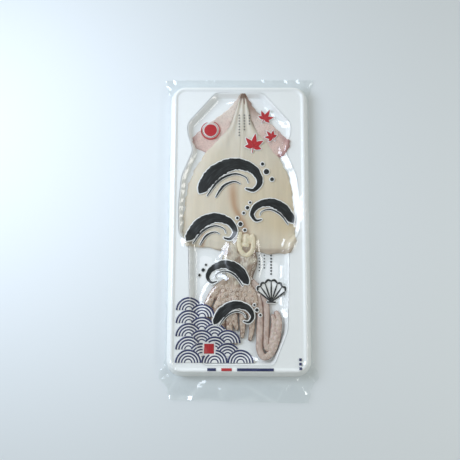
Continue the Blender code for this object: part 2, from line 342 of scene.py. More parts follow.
def mantle_surface(u, v):
    """The mantle's upper side: u runs across and v from hem to tip, each from -1 to 1."""
    share = (1 - v) / 2
    half = MANTLE_WIDTH / 2 * smooth_through(MANTLE_PROFILE, share)
    hem_wave = 0.0011 * math.sin(7.5 * u + 0.6) + 0.0006 * math.sin(19 * u)
    x = TIP_LEAN * (1 - share) ** 2 + half * u
    y = TIP_Y - MANTLE_LENGTH * share - HEM_SLANT * u * share**6 + hem_wave * share**10
    side_wave = 0.0007 * math.sin(60 * share + 2 * u) + 0.0004 * math.sin(143 * share)
    x += side_wave * abs(u) ** 6 * u
    side_fall = (1 - abs(u) ** 5) ** 0.5
    end_fall = min(1.0, 0.12 + 9 * share, 0.50 + 10 * (1 - share))
    tip_folds = 0.34 * math.cos(3 * math.pi * u) * (1 - share) ** 3 * fade(share, 0.0, 0.04)
    pen_line = -0.11 * bell(u, 0.02 * math.sin(9 * share), 0.025) * fade(share, 0.1, 0.3)
    crown = MANTLE_THICKNESS - MANTLE_EDGE
    height = MANTLE_EDGE + crown * side_fall * (end_fall + tip_folds + pen_line)
    height += 0.00035 * side_fall * unevenness((x, y, 0), 0.028)
    height += 0.00015 * side_fall * unevenness((x * 1.6, y * 0.6, 1), 0.006)
    return laid_on_tray(x, y, height)


def mantle_colour(point, normal):
    """Cream, yellower to the hem, with the gut's trace and brown skin along the edges."""
    share = (TIP_Y - point.y) / MANTLE_LENGTH
    half = MANTLE_WIDTH / 2 * smooth_through(MANTLE_PROFILE, share)
    u = (point.x - TIP_LEAN * (1 - share) ** 2) / half
    wander = unevenness((point.x, point.y, 4), 0.022)
    colour = FLESH.lerp(FLESH_NEAR_TIP, 0.9 * (1 - fade(share, 0.05, 0.45)))
    yellow = fade(share, 0.25, 0.80) * (0.25 + 0.75 * fade(u, -0.6, 0.8))
    yellow *= 1 - 0.85 * fade(share, 0.84, 0.97)
    colour = colour.lerp(FLESH_YELLOW, min(1.0, max(0.0, 0.9 * yellow + 0.25 * wander)))
    streak_x = -0.0075 + 0.016 * fade(share, 0.66, 0.92)
    streak = bell(point.x, streak_x + 0.003 * wander, 0.0046) * fade(share, 0.50, 0.66)
    side_streak = 0.45 * bell(point.x, -0.043 + 0.003 * wander, 0.003) * fade(share, 0.75, 0.9)
    colour = colour.lerp(GUT_TRACE, min(0.75, 0.66 * streak + side_streak))
    tip_skin = fade(abs(u) + 0.12 * wander, 0.70, 0.98) * (1 - fade(share, 0.16, 0.30))
    cap = 1 - fade(share + 0.01 * wander, 0.012, 0.035)
    rim_skin = 0.12 * fade(abs(u), 0.970, 1.0) + 0.40 * fade(share, 0.982, 1.0)
    return colour.lerp(SKIN_BROWN, min(1.0, 0.8 * tip_skin + 0.85 * cap + rim_skin))


def toned_stain(tree, pattern, low, high):
    """The painted stain, times low to high from where a pattern is weak to where it is strong."""
    stain = add_node(tree, "ShaderNodeVertexColor", layer_name="stain")
    tone = add_node(tree, "ShaderNodeMapRange", {"Value": pattern, 1: 0.3, 2: 0.7, 3: low, 4: high})
    toned = add_node(
        tree,
        "ShaderNodeVectorMath",
        {0: stain.outputs["Color"], "Scale": tone.outputs["Result"]},
        operation="SCALE",
    )
    return toned.outputs["Vector"]


def flesh_finish(name, roughness, fibre_scale, contrast, speckle):
    """Squid flesh: the stain painted on it, with lighter and darker fibres and skin specks."""
    finish, tree, shader = new_finish(
        name,
        {
            "Roughness": roughness,
            "IOR": 1.42,
            "Subsurface Weight": 0.12,
            "Subsurface Radius": (1.0, 0.6, 0.4),
            "Subsurface Scale": 0.002,
        },
    )
    place = add_node(tree, "ShaderNodeTexCoord")
    stretch = add_node(
        tree, "ShaderNodeMapping", {"Vector": place.outputs["Object"], "Scale": fibre_scale}
    )
    fibres = add_node(
        tree, "ShaderNodeTexNoise", {"Vector": stretch.outputs["Vector"], "Scale": 1, "Detail": 4}
    )
    # Fibre bundles lighten and darken the flesh by a few parts in a hundred
    toned = toned_stain(tree, fibres.outputs["Fac"], 1 - contrast, 1 + contrast)
    # Chromatophores are under 1 mm wide: drawn 1.5 mm wide so that they show
    specks = add_node(
        tree, "ShaderNodeTexVoronoi", {"Vector": place.outputs["Object"], "Scale": 620}
    )
    speck_share = add_node(
        tree,
        "ShaderNodeMapRange",
        {"Value": specks.outputs["Distance"], 1: 0.38, 2: 0.12, 3: 0.0, 4: speckle},
    )
    coloured = add_node(
        tree,
        "ShaderNodeMix",
        {0: speck_share.outputs["Result"], 6: toned, 7: linear("6E4238")},
        data_type="RGBA",
    )
    relief = add_node(
        tree, "ShaderNodeBump", {"Height": fibres.outputs["Fac"], "Strength": 0.35, "Distance": 0.0005}
    )
    set_inputs(tree, shader, {"Base Color": coloured.outputs[2], "Normal": relief.outputs["Normal"]})
    return finish


# Inner flesh: smooth and matte, with soft fibre bundles about 5 mm wide that run lengthwise
inner_flesh = flesh_finish(
    "dried_squid_inner_flesh", roughness=0.50, fibre_scale=(200, 16, 200), contrast=0.05, speckle=0.0
)
mantle = add_piece("mantle", slab(mantle_surface, columns=96, rows=150), inner_flesh)
paint(mantle, mantle_colour)
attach(mantle, "root")

# Fins
# Two muscular fins joined behind the mantle's tip, spread flat. They keep their outer skin,
# which dries to a dusky pink, brown by the tip and dark purple at the outer corners.
FIN_SPAN = 0.1170
FIN_LENGTH = 0.0770
FIN_THICKNESS = 0.0028
FIN_EDGE = 0.0007
# Half the span, as a share of the whole, at shares of the length
FIN_PROFILE = (
    (0.00, 0.050),
    (0.08, 0.150),
    (0.19, 0.235),
    (0.29, 0.370),
    (0.55, 0.770),
    (0.72, 0.985),
    (0.82, 1.000),
    (0.92, 0.920),
    (1.00, 0.720),
)
FIN_PINK = linear("DEC2B8")
FIN_PALE = linear("E2D3C8")
FIN_BROWN = linear("947060")
FIN_PURPLE = linear("96595C")


def fin_surface(u, v):
    """The upper side of both fins as one sheet, with curled outer edges."""
    share = (1 - v) / 2
    half = FIN_SPAN / 2 * smooth_through(FIN_PROFILE, share)
    x = TIP_LEAN * (1 - 0.4 * share) ** 2 + half * u
    y = TIP_Y - FIN_LENGTH * share - HEM_SLANT * u * share
    x += 0.0006 * math.sin(70 * share) * abs(u) ** 8 * u
    side_fall = (1 - abs(u) ** 6) ** 0.5 * min(1.0, 0.1 + 8 * share)
    height = FIN_EDGE + (FIN_THICKNESS - FIN_EDGE) * side_fall
    curl = 0.0005 * fade(abs(u), 0.80, 0.97) * (0.5 + 0.5 * math.sin(23 * share + 3 * u))
    height += curl * fade(share, 0.0, 0.1) + 0.0003 * unevenness((x, y, 2), 0.012)
    return laid_on_tray(x, y, height)


def fin_colour(point, normal):
    """Pale to pink from the top down, brown by the tip and purple at the outer corners."""
    share = (TIP_Y - point.y - HEM_SLANT * point.x / 0.06 * 0.5) / FIN_LENGTH
    half = FIN_SPAN / 2 * smooth_through(FIN_PROFILE, share)
    u = (point.x - TIP_LEAN * 0.5) / half
    wander = unevenness((point.x, point.y, 7), 0.011)
    colour = FIN_PALE.lerp(FIN_PINK, fade(share + 0.2 * wander, 0.30, 0.75))
    brown = (1 - fade(share, 0.18, 0.42)) * fade(u + 0.3 * wander, -0.6, 0.5)
    colour = colour.lerp(FIN_BROWN, min(1.0, 0.85 * brown))
    corner = fade(abs(u) + 0.10 * wander, 0.86, 1.0) * fade(share, 0.5, 0.75)
    strength = 0.75 if u > 0 else 0.45
    return colour.lerp(FIN_PURPLE, strength * corner)


# Fin skin: a thin satin skin, specked with chromatophores
fin_skin = flesh_finish(
    "dried_squid_fin_skin", roughness=0.45, fibre_scale=(260, 160, 260), contrast=0.08, speckle=0.45
)
fins = add_piece("fins", slab(fin_surface, columns=110, rows=80), fin_skin)
paint(fins, fin_colour)
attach(fins, "root")

# Head and arms
# The head is split and spread under the mantle's hem, and eight short arms fan out from it.
# Dried together, they are one brown, half-clear mass with deep grooves between the arms.
HEAD_X = 0.0010
NECK_Y = -0.0060
HEAD_WIDTH = 0.0420
HEAD_LENGTH = 0.0620
HEAD_THICKNESS = 0.0075
HEAD_EDGE = 0.0015
ARM_RADIUS = 0.0052
ARM_TIP_RADIUS = 0.0020
LIMB_FLATNESS = 0.72
LIMB_SIDES = 18
LIMB_STEP = 0.0016
ARM_ROUTES = (
    (
        (-0.014, -0.056), (-0.027, -0.067), (-0.036, -0.083),
        (-0.039, -0.101), (-0.035, -0.117), (-0.027, -0.126),
    ),
    ((-0.012, -0.058), (-0.021, -0.076), (-0.028, -0.094), (-0.028, -0.112), (-0.021, -0.124)),
    ((-0.009, -0.060), (-0.016, -0.080), (-0.020, -0.099), (-0.0185, -0.116), (-0.012, -0.127)),
    ((-0.006, -0.060), (-0.009, -0.082), (-0.0115, -0.101), (-0.009, -0.118), (-0.002, -0.129)),
    ((-0.003, -0.060), (-0.005, -0.078), (-0.0055, -0.096), (-0.002, -0.113)),
    ((0.000, -0.061), (0.003, -0.082), (0.0045, -0.102), (0.0040, -0.122)),
    ((0.004, -0.060), (0.011, -0.078), (0.0145, -0.097), (0.0150, -0.113), (0.0125, -0.125)),
    ((0.007, -0.058), (0.0160, -0.070), (0.0190, -0.084), (0.0165, -0.098)),
)
# How high each arm rises at its middle, so that some lie over others
ARM_LIFTS = (0.0, 0.0009, 0.0002, 0.0008, 0.0024, 0.0004, 0.0012, 0.0022)
# How finely the joined mass is remade
FUSING_STEP = 0.0006
HEAD_PALE = linear("D1C8B6")
HEAD_BROWN = linear("9E8A78")
# Painted shade for the head's sides
HEAD_SIDE_SHADE = linear("6E5547")
ARM_FLESH = linear("CFBBA9")
# Painted shade for the arms' sides
ARM_SIDE_SHADE = linear("85614F")
# Painted shade for the grooves low between the arms
GROOVE_SHADE = linear("4A3026")


def smooth_route(points, step):
    """Points about step apart on a smooth curve through points."""
    route = []
    for index in range(len(points) - 1):
        p0 = points[max(index - 1, 0)]
        p1, p2 = points[index], points[index + 1]
        p3 = points[min(index + 2, len(points) - 1)]
        count = max(2, round((p2 - p1).length / step))
        for n in range(count):
            t = n / count
            route.append(
                0.5
                * (
                    2 * p1
                    + (p2 - p0) * t
                    + (2 * p0 - 5 * p1 + 4 * p2 - p3) * t**2
                    + (3 * p1 - p0 - 3 * p2 + p3) * t**3
                )
            )
    return [*route, points[-1]]


def directions(points):
    """The level direction along the route at each of its points."""
    found = []
    for index in range(len(points)):
        ahead = points[min(index + 1, len(points) - 1)] - points[max(index - 1, 0)]
        found.append(Vector((ahead.x, ahead.y, 0)).normalized())
    return found


def arm_radius(share):
    """An arm tapers from the head to its tip."""
    return ARM_RADIUS + (ARM_TIP_RADIUS - ARM_RADIUS) * share**2.4


def limb_line(route, radius_at, lift):
    """The middle line of a limb that lies on the recess's floor: points and radii."""
    points = smooth_route([Vector((x, y, 0)) for x, y in route], LIMB_STEP)
    sink = 0.3 * LIMB_FLATNESS * radius_at(0)
    radii = []
    for index, point in enumerate(points):
        share = index / (len(points) - 1)
        radius = radius_at(share)
        rise = radius * LIMB_FLATNESS - sink * (1 - share) + lift * math.sin(math.pi * share)
        point.z = RECESS_FLOOR + max(rise, 0.8 * radius * LIMB_FLATNESS)
        radii.append(radius)
    return points, radii


def add_limb(mesh_data, points, radii, unevenness_share):
    """A closed limb: its end face is extruded from ring to ring along the points."""
    made = bmesh.ops.create_circle(mesh_data, cap_ends=True, segments=LIMB_SIDES, radius=1.0)
    cap = made["verts"][0].link_faces[0]
    last = len(points) - 1
    for index, (point, ahead) in enumerate(zip(points, directions(points))):
        if index > 0:
            cap = bmesh.ops.extrude_discrete_faces(mesh_data, faces=[cap])["faces"][0]
        side = Vector((-ahead.y, ahead.x, 0))
        end_run = min(index, last - index) * LIMB_STEP / radii[index]
        rounding = math.sqrt(1 - (1 - min(1.0, end_run + 0.15)) ** 2)
        for number, vertex in enumerate(cap.verts):
            angle = 2 * math.pi * number / LIMB_SIDES
            wave = 1 + unevenness_share * unevenness(point + side * math.cos(angle), 0.006)
            radius = radii[index] * rounding * wave
            vertex.co = point + side * radius * math.cos(angle)
            vertex.co.z += radius * LIMB_FLATNESS * math.sin(angle)
    border = [edge for edge in mesh_data.edges if edge.is_boundary]
    bmesh.ops.holes_fill(mesh_data, edges=border, sides=0)


def head_surface(u, v):
    """The head's upper side: two eyes with their sockets, and a groove between its halves."""
    share = (1 - v) / 2
    waist = 0.72 + 0.28 * math.sin(math.pi * min(1.0, share * 1.25)) ** 2
    x = HEAD_X + HEAD_WIDTH / 2 * waist * u
    y = NECK_Y - HEAD_LENGTH * share
    side_fall = (1 - abs(u) ** 4) ** 0.5
    end_fall = min(1.0, 0.4 + 5 * share)
    eyes = 0.30 * math.exp(-(((abs(u) - 0.6) / 0.24) ** 2) - ((share - 0.55) / 0.16) ** 2)
    sockets = 0.22 * math.exp(-(((abs(u) - 0.6) / 0.09) ** 2) - ((share - 0.55) / 0.06) ** 2)
    groove = 0.24 * bell(u, 0, 0.16)
    ridges = 0.05 * math.sin(26 * u + 4 * share) * fade(share, 0.3, 0.6)
    crown = HEAD_THICKNESS - HEAD_EDGE
    height = HEAD_EDGE + crown * side_fall * (end_fall + eyes - sockets - groove + ridges)
    height += 0.0009 * side_fall * unevenness((x, y, 3), 0.007)
    return Vector((x, y, RECESS_FLOOR + height))


def fused(mesh_data):
    """The mesh of overlapping closed forms, remade as one skin and smoothed."""
    mesh = bpy.data.meshes.new("forms_to_fuse")
    mesh_data.to_mesh(mesh)
    mesh_data.free()
    forms = bpy.data.objects.new("forms_to_fuse", mesh)
    bpy.context.scene.collection.objects.link(forms)
    remesh = forms.modifiers.new("fuse", "REMESH")
    remesh.mode = "VOXEL"
    remesh.voxel_size = FUSING_STEP
    graph = bpy.context.evaluated_depsgraph_get()
    result = bpy.data.meshes.new_from_object(forms.evaluated_get(graph))
    bpy.data.objects.remove(forms)
    joined = bmesh.new()
    joined.from_mesh(result)
    bpy.data.meshes.remove(result)
    bmesh.ops.smooth_vert(
        joined, verts=joined.verts, factor=0.5, use_axis_x=True, use_axis_y=True, use_axis_z=True
    )
    bmesh.ops.recalc_face_normals(joined, faces=joined.faces)
    return joined


def head_colour(point, normal):
    """A blotched head and arms, with painted shade down their sides and in the grooves low between the
    arms.
    """
    wander = unevenness((point.x, point.y, 9), 0.006)
    mottle = unevenness((point.x * 1.4, point.y * 0.7, 12), 0.0028)
    patches = unevenness((point.x, point.y, 15), 0.0085)
    on_head = fade(point.y, -0.066, -0.056)
    # Painted shade: the arms darken down their sides, where they turn away from the light above,
    # broken up by mottling
    colour = ARM_SIDE_SHADE.lerp(ARM_FLESH, fade(normal.z + 0.3 * wander + 0.8 * mottle, 0.30, 1.05))
    head_tone = HEAD_BROWN.lerp(HEAD_PALE, fade(patches + 0.5 * mottle, -0.35, 0.35))
    # Painted shade: the head darkens down its sides
    head_tone = HEAD_SIDE_SHADE.lerp(head_tone, fade(normal.z + 0.3 * wander, 0.25, 0.85))
    colour = colour.lerp(head_tone, on_head)
    # Painted shade: dark low by the floor, in the grooves between the arms, less under the head
    low = 1 - fade(point.z, RECESS_FLOOR + 0.0006, RECESS_FLOOR + 0.0042)
    return colour.lerp(GROOVE_SHADE, 0.85 * low * (1 - 0.7 * on_head))


arms_mesh = slab(head_surface, columns=40, rows=60)
arm_lines = []
for route, lift in zip(ARM_ROUTES, ARM_LIFTS):
    arm_lines.append(limb_line(route, arm_radius, lift))
    add_limb(arms_mesh, *arm_lines[-1], unevenness_share=0.10)

# Head and arm flesh: satin, brown, with short fibres and dark specks of skin
arm_flesh = flesh_finish(
    "dried_squid_arm_flesh", roughness=0.38, fibre_scale=(520, 260, 520), contrast=0.12, speckle=0.40
)
head_and_arms = add_piece("head_and_arms", fused(arms_mesh), arm_flesh)
paint(head_and_arms, head_colour)
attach(head_and_arms, "root")

# Funnel
# The pale collar of the funnel and its cartilage, a thick loop left between mantle and head.
# It has no skin, so it dries cream yellow.
FUNNEL_ROUTE = (
    (0.0015, 0.0030), (0.0000, -0.0090), (0.0020, -0.0200), (0.0085, -0.0255),
    (0.0150, -0.0205), (0.0170, -0.0100), (0.0150, 0.0000),
)
FUNNEL_RADIUS = 0.0031
FUNNEL_LIFT = 0.0068
FUNNEL_TONGUE_ROUTE = ((0.0085, 0.0010), (0.0088, -0.0080), (0.0080, -0.0165))
FUNNEL_TONGUE_RADIUS = 0.0052
FUNNEL_TONGUE_LIFT = 0.0044
CARTILAGE = linear("E4D8BC")
# Painted shade for the funnel's sides
CARTILAGE_SIDE_SHADE = linear("B49670")

funnel_mesh = bmesh.new()
for route, radius, lift in (
    (FUNNEL_ROUTE, FUNNEL_RADIUS, FUNNEL_LIFT),
    (FUNNEL_TONGUE_ROUTE, FUNNEL_TONGUE_RADIUS, FUNNEL_TONGUE_LIFT),
):
    points = smooth_route([Vector((x, y, RECESS_FLOOR + lift)) for x, y in route], LIMB_STEP)
    add_limb(funnel_mesh, points, [radius] * len(points), unevenness_share=0.30)


def funnel_colour(point, normal):
    """Cream yellow on top, with painted shade in brown down the sides."""
    wander = unevenness((point.x, point.y, 5), 0.005)
    # Painted shade: browner where the surface turns down
    return CARTILAGE_SIDE_SHADE.lerp(CARTILAGE, fade(normal.z + 0.4 * wander, 0.1, 0.8))


# Cartilage: smoother and glossier than the flesh
cartilage = flesh_finish(
    "dried_squid_cartilage", roughness=0.30, fibre_scale=(300, 300, 300), contrast=0.08, speckle=0.0
)
funnel = add_piece("funnel", fused(funnel_mesh), cartilage)
paint(funnel, funnel_colour)
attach(funnel, "root")

# Tentacles
# Two long tentacles, smooth on their stalks, turned back so that their clubs lie beside the
# arms. The clubs widen and carry suckers, and their skin dries a dusky pink.
TENTACLE_RADIUS = 0.0039
CLUB_RADIUS = 0.0049
CLUB_START = 0.62
# How high each tentacle rises at its middle, and its route
TENTACLES = (
    (
        0.0020,
        (
            (0.0120, -0.056), (0.0205, -0.070), (0.0240, -0.086), (0.0245, -0.104),
            (0.0240, -0.122), (0.0240, -0.135), (0.0285, -0.143), (0.0360, -0.140),
            (0.0415, -0.129), (0.0450, -0.115), (0.0465, -0.101), (0.0430, -0.090),
        ),
    ),
    (
        0.0004,
        (
            (0.0140, -0.055), (0.0265, -0.068), (0.0315, -0.082), (0.0320, -0.100),
            (0.0315, -0.118), (0.0315, -0.129), (0.0345, -0.134), (0.0380, -0.129),
            (0.0405, -0.116), (0.0410, -0.103), (0.0390, -0.094),
        ),
    ),
)
# Painted light for the tentacles' tops, their own dusky pink, and painted shade for their sides
TENTACLE_LIT_TOP = linear("D0BDB2")
TENTACLE_PINK = linear("AE8E80")
TENTACLE_SIDE_SHADE = linear("74544A")


def tentacle_radius(share):
    """A tentacle is even, swells into its club and tapers at the club's tip."""
    club = max(0.0, (share - CLUB_START) / (1 - CLUB_START))
    swell = math.sin(math.pi * min(1.0, 1.5 * club) / 2) * (1 - club**2)
    return TENTACLE_RADIUS * (1 - 0.4 * club**4) + (CLUB_RADIUS - TENTACLE_RADIUS) * swell


def tentacle_colour(point, normal):
    """Dusky pink, with painted light on top and painted shade down the sides."""
    wander = unevenness((point.x, point.y, 6), 0.007)
    mottle = unevenness((point.x * 1.5, point.y * 0.6, 13), 0.003)
    # Painted light: paler where the tentacle faces up
    lit_top_share = fade(normal.z + 0.3 * wander + 0.3 * mottle, 0.5, 1.0)
    colour = TENTACLE_PINK.lerp(TENTACLE_LIT_TOP, lit_top_share)
    # Painted shade: darker down the sides
    return colour.lerp(TENTACLE_SIDE_SHADE, 1 - fade(normal.z, -0.1, 0.55))


# Tentacle skin: smooth and a little glossy, with fibres about 5 mm long
tentacle_skin = flesh_finish(
    "dried_squid_tentacle_skin",
    roughness=0.34,
    fibre_scale=(480, 220, 480),
    contrast=0.10,
    speckle=0.30,
)
tentacles = []
tentacle_lines = []
for number, (lift, route) in enumerate(TENTACLES, start=1):
    tentacle_mesh = bmesh.new()
    tentacle_lines.append(limb_line(route, tentacle_radius, lift))
    add_limb(tentacle_mesh, *tentacle_lines[-1], unevenness_share=0.06)
    bmesh.ops.recalc_face_normals(tentacle_mesh, faces=tentacle_mesh.faces)
    tentacle = add_piece(f"tentacle_{number}", tentacle_mesh, tentacle_skin)
    paint(tentacle, tentacle_colour)
    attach(tentacle, "root")
    tentacles.append(tentacle)

# Suckers
# Small cups in two rows along each arm, and in three on the clubs, which are wider. Each is a
# horny ring on a short stalk, paler than the arm, with painted shade in its hollow.
SUCKER_SIDES = 10
SUCKER_SHARE = 0.38
CLUB_SUCKER_SHARE = 0.31
SUCKER_SPACING = 2.2
# Shares of an arm's length between which suckers stand
SUCKERS_START = 0.10
SUCKERS_END = 0.97
# No sucker stands where the flesh's normal rises less than this
STEEPEST_FOOT = 0.35
# A cup of radius 1, from the foot of its stalk: how far in and up
SUCKER_STEPS = ((-0.20, 0.50), (0.24, 0.26), (0.28, -0.02), (0.14, -0.14))
SUCKER_RING = linear("DCCDBE")
# Painted shade for each cup's hollow
SUCKER_HOLLOW_SHADE = linear("BFA593")

cup_mesh = bmesh.new()
bmesh.ops.create_circle(cup_mesh, cap_ends=True, segments=SUCKER_SIDES, radius=0.85)
cup_face = cup_mesh.faces[:][0]
if cup_face.normal.z < 0:
    cup_face.normal_flip()
for inward, upward in SUCKER_STEPS:
    cup_face = bmesh.ops.extrude_discrete_faces(cup_mesh, faces=[cup_face])["faces"][0]
    ring_radius = cup_face.verts[0].co.xy.length
    share = (ring_radius - inward) / ring_radius
    bmesh.ops.scale(cup_mesh, verts=cup_face.verts, vec=(share, share, 1))
    bmesh.ops.translate(cup_mesh, verts=cup_face.verts, vec=(0, 0, upward))
cup = bpy.data.meshes.new("sucker_cup")
cup_mesh.to_mesh(cup)
cup_mesh.free()


def add_cup(mesh_data, tree, x, y, radius):
    """A sucker that stands on the flesh under (x, y) and leans with it."""
    foot, normal, _, _ = drop_onto(tree, x, y)
    if foot is None or normal.z < STEEPEST_FOOT:
        return
    first = len(mesh_data.verts)
    mesh_data.from_mesh(cup)
    mesh_data.verts.ensure_lookup_table()
    up = Vector((0, 0, 1))
    lean = up.rotation_difference(normal.lerp(up, 0.4).normalized())
    stand = Matrix.Translation(foot - 0.25 * radius * normal) @ lean.to_matrix().to_4x4()
    stand @= Matrix.Scale(radius, 4)
    bmesh.ops.transform(mesh_data, matrix=stand, verts=mesh_data.verts[first:])


def add_cup_rows(mesh_data, tree, points, radii, start, rows, size):
    """Rows of suckers along a limb, from a share of its length on, set in turn."""
    ways = directions(points)
    run = 0.0
    count = 0
    for index in range(1, len(points)):
        run += (points[index] - points[index - 1]).length
        share = index / (len(points) - 1)
        radius = radii[index] * size
        too_near = run < radius * SUCKER_SPACING / rows * 1.9
        if share < start or share > SUCKERS_END or too_near:
            continue
        run = 0.0
        count += 1
        row = (count % rows) - (rows - 1) / 2
        side = Vector((-ways[index].y, ways[index].x, 0)) * row * 2.1 * radius
        add_cup(mesh_data, tree, points[index].x + side.x, points[index].y + side.y, radius)


sucker_mesh = bmesh.new()
arm_tree = surface_tree([head_and_arms])
for points, radii in arm_lines:
    add_cup_rows(sucker_mesh, arm_tree, points, radii, SUCKERS_START, rows=2, size=SUCKER_SHARE)
for tentacle, (points, radii) in zip(tentacles, tentacle_lines):
    club_tree = surface_tree([tentacle])
    add_cup_rows(sucker_mesh, club_tree, points, radii, CLUB_START, rows=3, size=CLUB_SUCKER_SHARE)
bpy.data.meshes.remove(cup)

# Horny sucker ring: pale and smooth, with painted shade in the hollow inside
sucker_horn, tree, shader = new_finish("horny_sucker_ring", {"Roughness": 0.35, "IOR": 1.50})
place = add_node(tree, "ShaderNodeTexCoord")
# Tone changes from sucker to sucker, about 3 mm apart
mottle = add_node(
    tree, "ShaderNodeTexNoise", {"Vector": place.outputs["Object"], "Scale": 330, "Detail": 2}
)
set_inputs(tree, shader, {"Base Color": toned_stain(tree, mottle.outputs["Fac"], 0.75, 1.1)})

suckers = add_piece("suckers", sucker_mesh, sucker_horn)
last_ring = len(SUCKER_STEPS)
ring_layer = suckers.data.color_attributes.new("stain", "FLOAT_COLOR", "POINT")
for vertex in suckers.data.vertices:
    ring = vertex.index // SUCKER_SIDES % (last_ring + 1)
    # Painted shade: the cup's innermost ring, its hollow, is darker
    ring_layer.data[vertex.index].color = SUCKER_HOLLOW_SHADE if ring == last_ring else SUCKER_RING
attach(suckers, "root")

# Film bag
# A tube of clear nylon and polyethylene film, sealed across both ends with the air drawn out.
# It clings to the rim, the deck and the squid, hangs from the rim to the table in low pleats,
# and runs out in two crumpled flaps.
BAG_LENGTH = 0.390
BAG_HALF_WIDTH = 0.0860
EAR_HALF_WIDTH = 0.0920
BOTTOM_FLAP_HALF_WIDTH = 0.0800
BOTTOM_FLAP_SKEW = 0.003
CLEAR_OF_TRAY = 0.00015
CLEAR_OF_SQUID = 0.00040
FILM_ON_TABLE = 0.0006
# The back sheet's height under the tray, its slope beyond it, and how far the sheets stay apart
BACK_SHEET_HEIGHT = 0.00003
BACK_SHEET_SLOPE = 0.3
SHEETS_APART = 0.0003
FILM_COLUMNS = 150
FILM_ROWS = 316
# How much closer together the columns are at the bag's sides
SIDE_CROWDING = 0.22
SIDE_SEAM_HEIGHT = 0.0009
FLAP_END_HEIGHT = 0.0016
# Pull of the drawn-out air on each point, weaker close to the squid, where the film bridges
# over to the tray, with how close in cells that is, and the steps that settle the film
PULL_IN_RECESS = 0.000090
PULL_BY_SQUID = 0.000032
BRIDGED_CELLS = 6
PULL_ON_FLAPS = 0.00100
SETTLING_STEPS = 4000
CUSHION_STEPS = 5
SMOOTHING_STEPS = 14
# The crumpling's three sets of folds: their height, their spacing and their turn in radians
FOLD_SETS = ((0.0030, 0.018, 1.25), (0.0010, 0.011, 2.3), (0.0002, 0.006, 0.1))
# Share of the crumpling on the top flap, which lies smoother than the bottom one, and on the tray
TOP_CRUMPLE = 0.20
TRAY_CRUMPLE = 0.02
tray_low_y = TRAY_MIDDLE_Y - TRAY_LENGTH / 2
tray_high_y = TRAY_MIDDLE_Y + TRAY_LENGTH / 2


def bag_half_width(y):
    """Half the bag's width: it stands out in ears past the tray's ends, and the flap narrows."""
    ears = bell(y, tray_high_y + 0.006, 0.010) + 1.1 * bell(y, tray_low_y + 0.002, 0.009)
    if y > tray_high_y + 0.006:
        ears = 1.0
    narrowing = fade(y, tray_low_y - 0.002, -BAG_LENGTH / 2)
    wide = BAG_HALF_WIDTH + (EAR_HALF_WIDTH - BAG_HALF_WIDTH) * min(1.0, ears)
    ripple = 0.0006 * math.sin(290 * y) + 0.0005 * math.sin(670 * y + 1)
    return wide + (BOTTOM_FLAP_HALF_WIDTH - wide) * narrowing + ripple


def beyond_tray(x, y, inward):
    """How far a point lies outside a line so far inward from the tray's outline, or 0."""
    over_x = max(0.0, abs(x) - TRAY_WIDTH / 2 + inward)
    over_y = max(0.0, abs(y - TRAY_MIDDLE_Y) - TRAY_LENGTH / 2 + inward)
    return math.hypot(over_x, over_y)


def folds(x, y, spacing, turn, number):
    """Height from 0 to 1 of sharp folds that wander: flat facets between straight creases."""
    wander = 1.1 * unevenness((x, y, number), 2.2 * spacing)
    across = (x * math.cos(turn) + y * math.sin(turn)) / spacing + wander
    return abs(across % 2 - 1)


